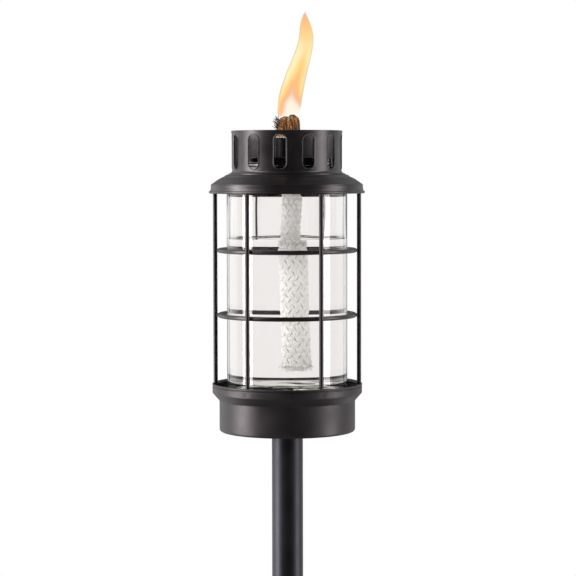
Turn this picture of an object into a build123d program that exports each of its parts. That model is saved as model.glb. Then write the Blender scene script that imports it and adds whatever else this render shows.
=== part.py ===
from build123d import *
import math
import os

# A garden torch: a glass oil lantern in a wire cage, on a three-section pole with a ground stake.
# Millimetres, +Z up. The origin is on the pole's axis at ground level, under the foot plate.
# The front of the torch faces -Y, and azimuths are counted from it towards +X.

os.makedirs("parts", exist_ok=True)

# ---- driving dimensions ----

TORCH_HEIGHT = 1651.0  # stake tip to flame guard rim, a 65 in torch
STAKE_DEPTH = 190.0
RUNNING_GAP = 0.1  # radial clearance of a push fit
SHEET = 0.9  # pressed steel sheet

# pole
POLE_R = 12.7
POLE_WALL = 1.2
SPIGOT_LENGTH = 40.0
SPIGOT_WALL = 1.2
POLE_CHAMFER = 0.4
POLE_NAMES = ["lower_pole", "middle_pole", "upper_pole"]

# ground stake
PLATE_LENGTH = 110.0
PLATE_WIDTH = 34.0
PLATE_THICKNESS = 4.0
PLATE_CHAMFER = 0.8
STAKE_SOCKET_R = 14.4
STAKE_SOCKET_LENGTH = 60.0
SOCKET_CHAMFER = 0.5
BLADE_THICKNESS = 3.0
BLADE_HALF_WIDTH = 16.0
BLADE_TAPER_START = 120.0
WELD_GAP = 0.05  # clearance in a joint that is welded up

# lantern heights, above the underside of the base cup
GUARD_RIM = 244.6
CUP_STRAIGHT = 25.4
CUP_LIP_START = 31.7
CUP_LIP_TOP = 39.1
SEAT_TOP = 26.0
JAR_BOTTOM = 28.5
ROD_BOTTOM = 32.5
LOWER_RING = 95.1
UPPER_RING = 147.8
CAGE_TOP = 200.2
HOOD_EDGE = 194.1
HOOD_SHOULDER = 201.2
HOOD_TOP = 209.3
OIL_LEVEL = 157.5
JAR_MOUTH = 220.6
TUBE_BOTTOM = 212.0
TUBE_TOP = 238.9
WICK_TOP = 257.0
WICK_BOTTOM = 55.0

# lantern radii
CUP_R = 55.4
CUP_LIP_R = 61.3
HEEL_R = 4.0  # the rounded bottom edge of the cup and of the jar
SOCKET_R = 14.3
SOCKET_DEPTH = 20.5
SOCKET_FLANGE_R = 26.0
SOCKET_SHEET = 1.5
RIVET_CIRCLE_R = 20.5
RIVET_COUNT = 3
RIVET_R = 2.0
RIVET_HEAD_R = 3.6
RIVET_HEAD = 1.2
RIVET_UPSET = 1.0
SEAT_R = 54.4
SEAT_SKIRT = 12.0
PAD_R = 44.0
PAD_CHAMFER = 0.5
ROD_R = 1.75
ROD_CIRCLE_R = 58.6
ROD_COUNT = 6
ROD_AZIMUTH = -32.5
CAGE_WIRE_R = 1.8
CAGE_TOP_OUTER_R = 60.5
CAGE_TOP_INNER_R = 55.5
CAGE_TOP_THICKNESS = 1.4
HOOD_R = 61.8
HOOD_BEAD_R = 1.1
HOOD_CREST_R = 49.0
HOOD_MID_SHOULDER = (56.3, 205.6)  # a point on its curve: radius, height
HOOD_HOLE_R = 44.0
GUARD_R = 44.4
GUARD_FOOT_R = 47.7
GUARD_RIM_R = 45.3
GUARD_COVE_R = 3.2
GUARD_FLARE = 8.0  # height of the part that opens towards the rim
GUARD_MID_FLARE_R = 44.6
SLOT_COUNT = 12
SLOT_AZIMUTH = -7.1
SLOT_WIDTH = 9.8
SLOT_BOTTOM = 213.9
SLOT_TOP = 241.4

# jar, lid and wick
JAR_R = 48.7
JAR_WALL = 2.5
JAR_FLOOR = 41.0
JAR_PUSH_UP = 3.0  # rise of the foot towards its middle
JAR_FOOT_R = 38.0
PUSH_UP_FILLET = 6.0
FLOOR_FILLET = 6.0
SHOULDER_CORNER = 201.0
SHOULDER_RISE = 5.5
SHOULDER_FILLET = 12.0
NECK_FILLET = 2.0
NECK_R = 34.0
THREAD_PITCH = 2.5
THREAD_TURNS = 4
THREAD_TOP = 218.3
THREAD_R = 0.9
OIL_GAP = 0.05
LID_R = 35.0
GASKET_THICKNESS = 1.0
BAND_R = 36.4
BAND_WALL = 0.7
BAND_RIDGE_R = 0.6
BAND_OPENING_R = 30.0
BAND_SKIRT = 15.0
BAND_CORNER_R = 1.2
TUBE_R = 10.0
TUBE_BORE_R = 9.0
TUBE_FLANGE_R = 14.0
TUBE_CHAMFER = 0.3
WICK_R = 8.7
WICK_LEAN = 5.3  # the wick's foot stands this far towards +X
WICK_BEND = 185.0
WICK_BEND_RADIUS = 550.0
WICK_PASSAGE_R = 10.4  # the oil leaves this much room, so that the wick can be drawn up

# ---- derived places ----

HEAD_Z = TORCH_HEIGHT - STAKE_DEPTH - GUARD_RIM
POLE_BASE = PLATE_THICKNESS
SECTION_LENGTH = (HEAD_Z - POLE_BASE) / len(POLE_NAMES)
POLE_BORE_R = POLE_R - POLE_WALL
SPIGOT_R = POLE_BORE_R - RUNNING_GAP
POLE_HOLE_R = POLE_R + RUNNING_GAP
LID_UNDERSIDE = JAR_MOUTH + GASKET_THICKNESS
head = Plane(origin=(0, 0, HEAD_Z), x_dir=(1, 0, 0), z_dir=(0, -1, 0))  # local (radius, height)


def level(height):
    """The horizontal plane at a height above the base cup's underside."""
    return Plane.XY.offset(HEAD_Z + height)


# ---- ground stake ----

with BuildPart() as foot_plate:
    with BuildSketch():
        SlotOverall(PLATE_LENGTH, PLATE_WIDTH)
    extrude(amount=PLATE_THICKNESS)
    chamfer(foot_plate.edges().group_by(Axis.Z)[-1], length=PLATE_CHAMFER)
foot_plate.part.label = "foot_plate"
export_step(foot_plate.part, "parts/foot_plate.step")

with BuildPart() as stake_socket:
    with BuildSketch(Plane.XY.offset(PLATE_THICKNESS)):
        Circle(STAKE_SOCKET_R)
        Circle(POLE_HOLE_R, mode=Mode.SUBTRACT)
    extrude(amount=STAKE_SOCKET_LENGTH)
    chamfer(stake_socket.edges().group_by(Axis.Z)[-1], length=SOCKET_CHAMFER)
stake_socket.part.label = "stake_socket"
export_step(stake_socket.part, "parts/stake_socket.step")

# the two blades are halved into each other: one is slit from its point, the other from its top
for name, plane, slit in (
    ("stake_blade_a", Plane.XZ, -STAKE_DEPTH),
    ("stake_blade_b", Plane.YZ, 0.0),
):
    with BuildPart() as blade:
        with BuildSketch(plane):
            Polygon(
                (-BLADE_HALF_WIDTH, 0),
                (BLADE_HALF_WIDTH, 0),
                (BLADE_HALF_WIDTH, -BLADE_TAPER_START),
                (0, -STAKE_DEPTH),
                (-BLADE_HALF_WIDTH, -BLADE_TAPER_START),
                align=None,
            )
            with Locations((0, slit)):
                Rectangle(BLADE_THICKNESS + 2 * WELD_GAP, STAKE_DEPTH, mode=Mode.SUBTRACT)
        extrude(amount=BLADE_THICKNESS / 2, both=True)
    blade.part.label = name
    export_step(blade.part, f"parts/{name}.step")

# ---- pole ----

for index, name in enumerate(POLE_NAMES):
    base = POLE_BASE + index * SECTION_LENGTH
    top = base + SECTION_LENGTH
    is_last = name == POLE_NAMES[-1]
    with BuildPart() as pole:
        with BuildSketch(Plane.XZ):
            with BuildLine():
                if is_last:
                    Polyline(
                        (POLE_BORE_R, base),
                        (POLE_R, base),
                        (POLE_R, top + SOCKET_DEPTH),
                        (POLE_BORE_R, top + SOCKET_DEPTH),
                        close=True,
                    )
                else:
                    Polyline(
                        (POLE_BORE_R, base),
                        (POLE_R, base),
                        (POLE_R, top),
                        (SPIGOT_R, top),
                        (SPIGOT_R, top + SPIGOT_LENGTH),
                        (SPIGOT_R - SPIGOT_WALL, top + SPIGOT_LENGTH),
                        (SPIGOT_R - SPIGOT_WALL, top - POLE_WALL),
                        (POLE_BORE_R, top - 2 * POLE_WALL),
                        close=True,
                    )
            make_face()
        revolve(axis=Axis.Z)
        outer_rims = pole.edges().filter_by(GeomType.CIRCLE).filter_by(lambda e: e.radius == POLE_R)
        chamfer(outer_rims, length=POLE_CHAMFER)
    pole.part.label = name
    export_step(pole.part, f"parts/{name}.step")

# ---- lantern base ----

with BuildPart() as base_cup:
    with BuildSketch(head):
        with BuildLine():
            bottom = Line((POLE_HOLE_R, 0), (CUP_R - HEEL_R, 0))
            heel = RadiusArc(bottom @ 1, (CUP_R, HEEL_R), -HEEL_R)
            side = Line(heel @ 1, (CUP_R, CUP_STRAIGHT))
            cone = Line(side @ 1, (CUP_LIP_R, CUP_LIP_START))
            lip = Line(cone @ 1, (CUP_LIP_R, CUP_LIP_TOP))
            offset(amount=SHEET, side=Side.LEFT)
        make_face()
    revolve(axis=Axis.Z)
    with BuildSketch(level(0)):
        with PolarLocations(RIVET_CIRCLE_R, RIVET_COUNT):
            Circle(RIVET_R + RUNNING_GAP)
    extrude(amount=SHEET, mode=Mode.SUBTRACT)
base_cup.part.label = "base_cup"
export_step(base_cup.part, "parts/base_cup.step")

with BuildPart() as pole_socket:
    with BuildSketch(head):
        with BuildLine():
            Polyline(
                (POLE_HOLE_R, SHEET),
                (SOCKET_FLANGE_R, SHEET),
                (SOCKET_FLANGE_R, SHEET + SOCKET_SHEET),
                (SOCKET_R, SHEET + SOCKET_SHEET),
                (SOCKET_R, SOCKET_DEPTH + SOCKET_SHEET),
                (0, SOCKET_DEPTH + SOCKET_SHEET),
                (0, SOCKET_DEPTH),
                (POLE_HOLE_R, SOCKET_DEPTH),
                close=True,
            )
        make_face()
    revolve(axis=Axis.Z)
    with BuildSketch(level(SHEET)):
        with PolarLocations(RIVET_CIRCLE_R, RIVET_COUNT):
            Circle(RIVET_R + RUNNING_GAP)
    extrude(amount=SOCKET_SHEET, mode=Mode.SUBTRACT)
pole_socket.part.label = "pole_socket"
export_step(pole_socket.part, "parts/pole_socket.step")

with BuildPart() as socket_rivets:
    with BuildSketch(level(0)):
        with PolarLocations(RIVET_CIRCLE_R, RIVET_COUNT):
            Circle(RIVET_R)
    extrude(amount=SHEET + SOCKET_SHEET)
    with BuildSketch(level(SHEET + SOCKET_SHEET)):
        with PolarLocations(RIVET_CIRCLE_R, RIVET_COUNT):
            Circle(RIVET_HEAD_R)
    extrude(amount=RIVET_UPSET)
    with BuildSketch(level(0)):
        with PolarLocations(RIVET_CIRCLE_R, RIVET_COUNT):
            Circle(RIVET_HEAD_R)
    extrude(amount=-RIVET_HEAD)
    fillet(socket_rivets.edges().group_by(Axis.Z)[0], radius=0.75 * RIVET_HEAD)
    fillet(socket_rivets.edges().group_by(Axis.Z)[-1], radius=0.7 * RIVET_UPSET)
socket_rivets.part.label = "socket_rivets"
export_step(socket_rivets.part, "parts/socket_rivets.step")

with BuildPart() as jar_seat:
    with BuildSketch(head):
        with BuildLine():
            Polyline((SEAT_R, SEAT_TOP - SEAT_SKIRT), (SEAT_R, SEAT_TOP), (SOCKET_R, SEAT_TOP))
            offset(amount=SHEET, side=Side.LEFT)
        make_face()
    revolve(axis=Axis.Z)
jar_seat.part.label = "jar_seat"
export_step(jar_seat.part, "parts/jar_seat.step")

with BuildPart() as jar_pad:
    with BuildSketch(level(SEAT_TOP)):
        Circle(PAD_R)
        Circle(SOCKET_R, mode=Mode.SUBTRACT)
    extrude(amount=JAR_BOTTOM - SEAT_TOP)
    chamfer(jar_pad.edges().group_by(Axis.Z)[-1], length=PAD_CHAMFER)
jar_pad.part.label = "jar_pad"
export_step(jar_pad.part, "parts/jar_pad.step")

# ---- wire cage ----

for index in range(ROD_COUNT):
    azimuth = ROD_AZIMUTH + index * 360 / ROD_COUNT
    with BuildPart() as cage_rod:
        with BuildSketch(level(ROD_BOTTOM)):
            with PolarLocations(ROD_CIRCLE_R, 1, start_angle=azimuth - 90):
                Circle(ROD_R)
        extrude(amount=CAGE_TOP - CAGE_TOP_THICKNESS - ROD_BOTTOM)
    cage_rod.part.label = f"cage_rod_{index + 1}"
    export_step(cage_rod.part, f"parts/cage_rod_{index + 1}.step")

# each ring is welded to the inner side of the rods
for name, height in (("lower_cage_ring", LOWER_RING), ("upper_cage_ring", UPPER_RING)):
    with BuildPart() as cage_ring:
        with BuildSketch(head):
            with Locations((ROD_CIRCLE_R - ROD_R - CAGE_WIRE_R, height)):
                Circle(CAGE_WIRE_R)
        revolve(axis=Axis.Z)
    cage_ring.part.label = name
    export_step(cage_ring.part, f"parts/{name}.step")

with BuildPart() as cage_top_ring:
    with BuildSketch(level(CAGE_TOP - CAGE_TOP_THICKNESS)):
        Circle(CAGE_TOP_OUTER_R)
        Circle(CAGE_TOP_INNER_R, mode=Mode.SUBTRACT)
    extrude(amount=CAGE_TOP_THICKNESS)
cage_top_ring.part.label = "cage_top_ring"
export_step(cage_top_ring.part, "parts/cage_top_ring.step")

# ---- hood ----

with BuildPart() as lantern_top:
    with BuildSketch(head):
        with BuildLine():
            band = Line((HOOD_R, HOOD_EDGE + HOOD_BEAD_R), (HOOD_R, HOOD_SHOULDER))
            shoulder = ThreePointArc(band @ 1, HOOD_MID_SHOULDER, (HOOD_CREST_R, HOOD_TOP))
            Line(shoulder @ 1, (HOOD_HOLE_R, HOOD_TOP))
            offset(amount=SHEET, side=Side.LEFT)
        make_face()
        with Locations((HOOD_R + HOOD_BEAD_R / 2, HOOD_EDGE + HOOD_BEAD_R)):
            Circle(HOOD_BEAD_R)
    revolve(axis=Axis.Z)
lantern_top.part.label = "lantern_top"
export_step(lantern_top.part, "parts/lantern_top.step")

with BuildPart() as flame_guard:
    with BuildSketch(head):
        with BuildLine():
            wall = FilletPolyline(
                (GUARD_FOOT_R, HOOD_TOP + SHEET),
                (GUARD_R, HOOD_TOP + SHEET),
                (GUARD_R, GUARD_RIM - GUARD_FLARE),
                radius=GUARD_COVE_R,
            )
            mid_flare = (GUARD_MID_FLARE_R, GUARD_RIM - GUARD_FLARE / 2)
            ThreePointArc(wall @ 1, mid_flare, (GUARD_RIM_R, GUARD_RIM))
            offset(amount=SHEET, side=Side.LEFT)
        make_face()
    revolve(axis=Axis.Z)
    slot_planes = []
    for index in range(SLOT_COUNT // 2):
        turn = math.radians(SLOT_AZIMUTH + index * 360 / SLOT_COUNT)
        outward = (math.sin(turn), -math.cos(turn), 0)
        sideways = (math.cos(turn), math.sin(turn), 0)
        middle = (0, 0, HEAD_Z + (SLOT_BOTTOM + SLOT_TOP) / 2)
        slot_planes.append(Plane(origin=middle, x_dir=sideways, z_dir=outward))
    with BuildSketch(*slot_planes):
        SlotOverall(SLOT_TOP - SLOT_BOTTOM, SLOT_WIDTH, rotation=90)
    extrude(amount=GUARD_FOOT_R, both=True, mode=Mode.SUBTRACT)
flame_guard.part.label = "flame_guard"
export_step(flame_guard.part, "parts/flame_guard.step")

# ---- jar and oil ----

with BuildPart() as glass_jar:
    with BuildSketch(head):
        with BuildLine():
            outside = FilletPolyline(
                (0, JAR_BOTTOM + JAR_PUSH_UP),
                (JAR_FOOT_R, JAR_BOTTOM),
                (JAR_R, JAR_BOTTOM),
                (JAR_R, SHOULDER_CORNER),
                (NECK_R, SHOULDER_CORNER + SHOULDER_RISE),
                (NECK_R, JAR_MOUTH),
                radius=[PUSH_UP_FILLET, HEEL_R, SHOULDER_FILLET, NECK_FILLET],
            )
            inside = FilletPolyline(
                (NECK_R - JAR_WALL, JAR_MOUTH),
                (NECK_R - JAR_WALL, SHOULDER_CORNER + SHOULDER_RISE - JAR_WALL),
                (JAR_R - JAR_WALL, SHOULDER_CORNER - JAR_WALL),
                (JAR_R - JAR_WALL, JAR_FLOOR),
                (0, JAR_FLOOR),
                radius=[NECK_FILLET, SHOULDER_FILLET - JAR_WALL, FLOOR_FILLET],
            )
            Line(outside @ 1, inside @ 0)
            Line(inside @ 1, outside @ 0)
        make_face()
        for turn in range(THREAD_TURNS):
            with Locations((NECK_R, THREAD_TOP - turn * THREAD_PITCH)):
                Circle(THREAD_R)
    revolve(axis=Axis.Z)
glass_jar.part.label = "glass_jar"
export_step(glass_jar.part, "parts/glass_jar.step")

# the wick hangs plumb from its tube, then leans a little to one side
with BuildLine(head) as wick_line:
    FilletPolyline(
        (0, WICK_TOP),
        (0, WICK_BEND),
        (WICK_LEAN, WICK_BOTTOM),
        radius=WICK_BEND_RADIUS,
    )

with BuildLine(head) as wick_passage_line:
    FilletPolyline(
        (0, WICK_TOP),
        (0, WICK_BEND),
        (WICK_LEAN * (WICK_BEND - JAR_BOTTOM) / (WICK_BEND - WICK_BOTTOM), JAR_BOTTOM),
        radius=WICK_BEND_RADIUS,
    )

with BuildPart() as lamp_oil:
    with BuildSketch(head):
        with BuildLine():
            oil_side = FilletPolyline(
                (0, JAR_FLOOR + OIL_GAP),
                (JAR_R - JAR_WALL - OIL_GAP, JAR_FLOOR + OIL_GAP),
                (JAR_R - JAR_WALL - OIL_GAP, OIL_LEVEL),
                radius=FLOOR_FILLET,
            )
            Polyline(oil_side @ 1, (0, OIL_LEVEL), oil_side @ 0)
        make_face()
    revolve(axis=Axis.Z)
    with BuildSketch(level(WICK_TOP)):
        Circle(WICK_PASSAGE_R)
    sweep(path=wick_passage_line.line, mode=Mode.SUBTRACT)
lamp_oil.part.label = "lamp_oil"
export_step(lamp_oil.part, "parts/lamp_oil.step")

# ---- lid, band and wick tube ----

with BuildPart() as lid_gasket:
    with BuildSketch(level(JAR_MOUTH)):
        Circle(LID_R)
        Circle(NECK_R - JAR_WALL, mode=Mode.SUBTRACT)
    extrude(amount=GASKET_THICKNESS)
lid_gasket.part.label = "lid_gasket"
export_step(lid_gasket.part, "parts/lid_gasket.step")

with BuildPart() as jar_lid:
    with BuildSketch(level(LID_UNDERSIDE)):
        Circle(LID_R)
        Circle(TUBE_R + WELD_GAP, mode=Mode.SUBTRACT)
    extrude(amount=SHEET)
jar_lid.part.label = "jar_lid"
export_step(jar_lid.part, "parts/jar_lid.step")

with BuildPart() as wick_tube:
    with BuildSketch(head):
        Polygon(
            (TUBE_BORE_R, TUBE_BOTTOM),
            (TUBE_R, TUBE_BOTTOM),
            (TUBE_R, LID_UNDERSIDE + SHEET),
            (TUBE_FLANGE_R, LID_UNDERSIDE + SHEET),
            (TUBE_FLANGE_R, LID_UNDERSIDE + 2 * SHEET),
            (TUBE_R, LID_UNDERSIDE + 2 * SHEET),
            (TUBE_R, TUBE_TOP),
            (TUBE_BORE_R, TUBE_TOP),
            align=None,
        )
    revolve(axis=Axis.Z)
    chamfer(wick_tube.edges().group_by(Axis.Z)[-1], length=TUBE_CHAMFER)
wick_tube.part.label = "wick_tube"
export_step(wick_tube.part, "parts/wick_tube.step")

with BuildPart() as lid_band:
    with BuildSketch(head):
        with BuildLine():
            FilletPolyline(
                (BAND_OPENING_R, LID_UNDERSIDE + 2 * SHEET),
                (BAND_R, LID_UNDERSIDE + 2 * SHEET),
                (BAND_R, LID_UNDERSIDE + 2 * SHEET - BAND_SKIRT),
                radius=BAND_CORNER_R,
            )
            offset(amount=BAND_WALL, side=Side.RIGHT)
        make_face()
        for turn in range(THREAD_TURNS):
            with Locations((BAND_R, THREAD_TOP - turn * THREAD_PITCH)):
                Circle(BAND_RIDGE_R)
    revolve(axis=Axis.Z)
lid_band.part.label = "lid_band"
export_step(lid_band.part, "parts/lid_band.step")

# ---- wick and flame ----

with BuildPart() as wick:
    with BuildSketch(level(WICK_TOP)):
        Circle(WICK_R)
    sweep(path=wick_line.line)
wick.part.label = "wick"
export_step(wick.part, "parts/wick.step")

# the burning gas, swept back by a breeze from the left: (lean towards +X, height, radius)
FLAME_SECTIONS = [
    (2.0, 257.6, 9.0),
    (4.0, 274.0, 9.2),
    (9.0, 294.0, 7.8),
    (15.0, 311.5, 5.9),
    (16.4, 327.0, 4.6),
    (15.4, 341.2, 0.6),
]
with BuildPart() as flame:
    for lean, height, radius in FLAME_SECTIONS:
        with BuildSketch(level(height)):
            with Locations((lean, 0)):
                Circle(radius)
    loft()
flame.part.label = "flame"
export_step(flame.part, "parts/flame.step")
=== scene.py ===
"""The looks of the garden torch: a glass oil lantern in a black wire cage, on a long pole.

Metres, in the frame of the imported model. Heights named in millimetres count from the base cup's
underside. The front of the torch faces -Y; azimuths are counted from it towards +X.
"""
import math
import random

import bmesh
import bpy
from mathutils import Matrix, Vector, noise


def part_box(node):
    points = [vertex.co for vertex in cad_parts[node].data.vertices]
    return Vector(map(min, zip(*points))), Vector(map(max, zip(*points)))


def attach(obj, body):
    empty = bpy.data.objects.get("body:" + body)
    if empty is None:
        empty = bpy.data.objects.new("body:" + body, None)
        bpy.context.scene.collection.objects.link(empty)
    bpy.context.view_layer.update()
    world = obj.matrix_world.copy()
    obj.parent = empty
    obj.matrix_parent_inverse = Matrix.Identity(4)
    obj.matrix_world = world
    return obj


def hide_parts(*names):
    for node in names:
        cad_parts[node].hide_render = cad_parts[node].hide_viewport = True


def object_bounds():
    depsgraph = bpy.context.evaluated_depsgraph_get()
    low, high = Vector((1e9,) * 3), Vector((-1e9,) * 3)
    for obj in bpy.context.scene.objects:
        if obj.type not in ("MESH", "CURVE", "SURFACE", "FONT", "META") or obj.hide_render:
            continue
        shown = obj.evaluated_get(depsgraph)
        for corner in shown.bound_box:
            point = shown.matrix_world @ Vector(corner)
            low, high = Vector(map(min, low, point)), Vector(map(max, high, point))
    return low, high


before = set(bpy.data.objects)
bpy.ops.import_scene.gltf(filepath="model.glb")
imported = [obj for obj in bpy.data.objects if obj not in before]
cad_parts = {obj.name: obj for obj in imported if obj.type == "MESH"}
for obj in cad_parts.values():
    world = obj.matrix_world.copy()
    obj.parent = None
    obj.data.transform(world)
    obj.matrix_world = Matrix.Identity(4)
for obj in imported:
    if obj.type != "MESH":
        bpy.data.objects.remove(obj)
CAD_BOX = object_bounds()

MM = 0.001
TAU = 2 * math.pi
ON_AXIS = 1e-6
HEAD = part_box("base_cup")[0].z
CAGE_RODS = sorted(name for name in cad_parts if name.startswith("cage_rod"))


def height_of(mm):
    """A height above the cup's underside, in the row frame."""
    return HEAD + mm * MM


def above_head(z):
    """The same the other way round, in millimetres."""
    return (z - HEAD) / MM


def polar(r, theta, z):
    """A point by its distance from the axis, its azimuth and its height, in millimetres."""
    return (r * MM * math.sin(theta), -r * MM * math.cos(theta), height_of(z))


def turned(x, y, angle):
    """x and y after a turn about the origin."""
    return (x * math.cos(angle) - y * math.sin(angle), x * math.sin(angle) + y * math.cos(angle))


# ---- mesh helpers


def soften(obj, smooth_angle):
    """Smooth shading with sharp creases."""
    obj.data.shade_smooth()
    obj.data.set_sharp_from_angle(angle=math.radians(smooth_angle))


def new_object(name, verts, faces, smooth_angle=35):
    """A mesh piece with outward normals."""
    mesh = bpy.data.meshes.new(name)
    mesh.from_pydata([tuple(v) for v in verts], [], faces)
    mesh.validate()
    bm = bmesh.new()
    bm.from_mesh(mesh)
    bmesh.ops.recalc_face_normals(bm, faces=bm.faces)
    bm.to_mesh(mesh)
    bm.free()
    obj = bpy.data.objects.new(name, mesh)
    bpy.context.scene.collection.objects.link(obj)
    soften(obj, smooth_angle)
    return obj


def apply_modifiers(obj):
    graph = bpy.context.evaluated_depsgraph_get()
    mesh = bpy.data.meshes.new_from_object(obj.evaluated_get(graph))
    old = obj.data
    obj.modifiers.clear()
    obj.data = mesh
    bpy.data.meshes.remove(old)


def rounded(points, steps=5):
    """An outline of (r, z) or (r, z, corner radius) points, with its corners turned into arcs."""
    out = []
    for i, point in enumerate(points):
        here = Vector(point[:2])
        if len(point) == 2:
            out.append(tuple(here))
            continue
        back = Vector(points[i - 1][:2]) - here
        ahead = Vector(points[(i + 1) % len(points)][:2]) - here
        back_dir, ahead_dir = back.normalized(), ahead.normalized()
        half = back_dir.angle(ahead_dir) / 2
        reach = min(point[2] / math.tan(half), 0.49 * back.length, 0.49 * ahead.length)
        radius = reach * math.tan(half)
        centre = here + (back_dir + ahead_dir).normalized() * radius / math.sin(half)
        start = here + back_dir * reach - centre
        sweep = start.angle_signed(here + ahead_dir * reach - centre)
        for k in range(steps + 1):
            out.append(tuple(centre + Vector(turned(*start, -sweep * k / steps))))
    return out


def dense(outline, step):
    """The same closed outline with no span longer than about step."""
    out = []
    for a, b in zip(outline, outline[1:] + outline[:1]):
        out.append(a)
        if max(a[0], b[0]) < ON_AXIS:
            continue
        pieces = int(math.dist(a, b) / step)
        for k in range(1, pieces):
            out.append((a[0] + (b[0] - a[0]) * k / pieces, a[1] + (b[1] - a[1]) * k / pieces))
    return out


def lathe(name, outline, segments, warp=None, smooth_angle=35):
    """Turns a closed outline of (radius, height) in millimetres about the torch's axis."""
    verts, rings = [], []
    for r, z in outline:
        if r < ON_AXIS:
            rings.append([len(verts)])
            verts.append((0, 0, height_of(z)))
            continue
        ring = []
        for k in range(segments):
            theta = TAU * k / segments
            ring.append(len(verts))
            warped_r, warped_z = warp(theta, r, z) if warp else (r, z)
            verts.append(polar(warped_r, theta, warped_z))
        rings.append(ring)
    faces = []
    for a, b in zip(rings, rings[1:] + rings[:1]):
        if len(a) == 1 and len(b) == 1:
            continue
        for k in range(segments):
            j = (k + 1) % segments
            if len(a) == 1:
                faces.append((a[0], b[k], b[j]))
            elif len(b) == 1:
                faces.append((a[k], b[0], a[j]))
            else:
                faces.append((a[k], b[k], b[j], a[j]))
    return new_object(name, verts, faces, smooth_angle)


def tube_faces(rings, sides):
    """Faces of a closed tube whose rings of points follow each other in one list."""
    faces = []
    for i in range(rings - 1):
        a, b = i * sides, (i + 1) * sides
        for k in range(sides):
            j = (k + 1) % sides
            faces.append((a + k, a + j, b + j, b + k))
    faces.append(tuple(range(sides))[::-1])
    faces.append(tuple(range((rings - 1) * sides, rings * sides)))
    return faces


def sweep_tube(points, radius, sides=8):
    """Verts and faces of a closed tube along points; radius is a number or a function of 0..1."""
    verts = []
    last = len(points) - 1
    side = None
    for i, point in enumerate(points):
        ahead = (points[min(i + 1, last)] - points[max(i - 1, 0)]).normalized()
        side = ahead.orthogonal() if side is None else side - ahead * ahead.dot(side)
        side.normalize()
        up = ahead.cross(side)
        r = radius(i / last) if callable(radius) else radius
        for k in range(sides):
            turn = TAU * k / sides
            verts.append(point + side * (r * math.cos(turn)) + up * (r * math.sin(turn)))
    return verts, tube_faces(last + 1, sides)


def join_parts(parts):
    """One vertex and face list from several."""
    verts, faces = [], []
    for part_verts, part_faces in parts:
        base = len(verts)
        verts.extend(part_verts)
        faces.extend([tuple(base + i for i in face) for face in part_faces])
    return verts, faces


# ---- node helpers


class Nodes:
    """A short way to lay out nodes. An input is given as a value or as the socket that feeds it."""

    def __init__(self, tree, coords):
        self.tree = tree
        self.coords = self.node("ShaderNodeTexCoord").outputs[coords]

    def feed(self, socket, value):
        if isinstance(value, bpy.types.NodeSocket):
            self.tree.links.new(value, socket)
        else:
            socket.default_value = value

    def node(self, kind, inputs=None, **settings):
        node = self.tree.nodes.new(kind)
        for key, value in settings.items():
            setattr(node, key, value)
        for key, value in (inputs or {}).items():
            self.feed(node.inputs[key], value)
        return node

    def math(self, operation, a, b=0.0):
        return self.node("ShaderNodeMath", {0: a, 1: b}, operation=operation).outputs[0]

    def plus(self, a, b):
        return self.math("ADD", a, b)

    def times(self, a, b):
        return self.math("MULTIPLY", a, b)

    def away(self, value, centre):
        """How far a value is from a centre."""
        return self.math("ABSOLUTE", self.math("SUBTRACT", value, centre))

    def mix(self, factor, a, b, kind="RGBA"):
        inputs = {"Factor": factor, "A": a, "B": b}
        return self.node("ShaderNodeMix", inputs, data_type=kind).outputs["Result"]

    def range(self, value, low, high, to_low, to_high, smooth=False):
        inputs = {"Value": value, "From Min": low, "From Max": high, "To Min": to_low, "To Max": to_high}
        kind = "SMOOTHSTEP" if smooth else "LINEAR"
        return self.node("ShaderNodeMapRange", inputs, interpolation_type=kind).outputs["Result"]

    def curve(self, value, points):
        """A smooth curve through (place, value) points, the first at 0 and the last at 1."""
        node = self.node("ShaderNodeFloatCurve", {"Value": value})
        knots = node.mapping.curves[0].points
        knots[0].location, knots[1].location = points[0], points[-1]
        for point in points[1:-1]:
            knots.new(*point)
        node.mapping.update()
        return node.outputs[0]

    def axes(self):
        return self.node("ShaderNodeSeparateXYZ", {"Vector": self.coords}).outputs

    def length(self, vector):
        return self.node("ShaderNodeVectorMath", {0: vector}, operation="LENGTH").outputs["Value"]

    def from_axis(self):
        """How far a point is from the torch's axis."""
        level = self.node("ShaderNodeVectorMath", {0: self.coords, 1: (1, 1, 0)}, operation="MULTIPLY")
        return self.length(level.outputs["Vector"])

    def stretched(self, z_scale):
        """The coordinates with another scale along Z."""
        return self.node("ShaderNodeMapping", {"Vector": self.coords, "Scale": (1, 1, z_scale)}).outputs[0]


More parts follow.
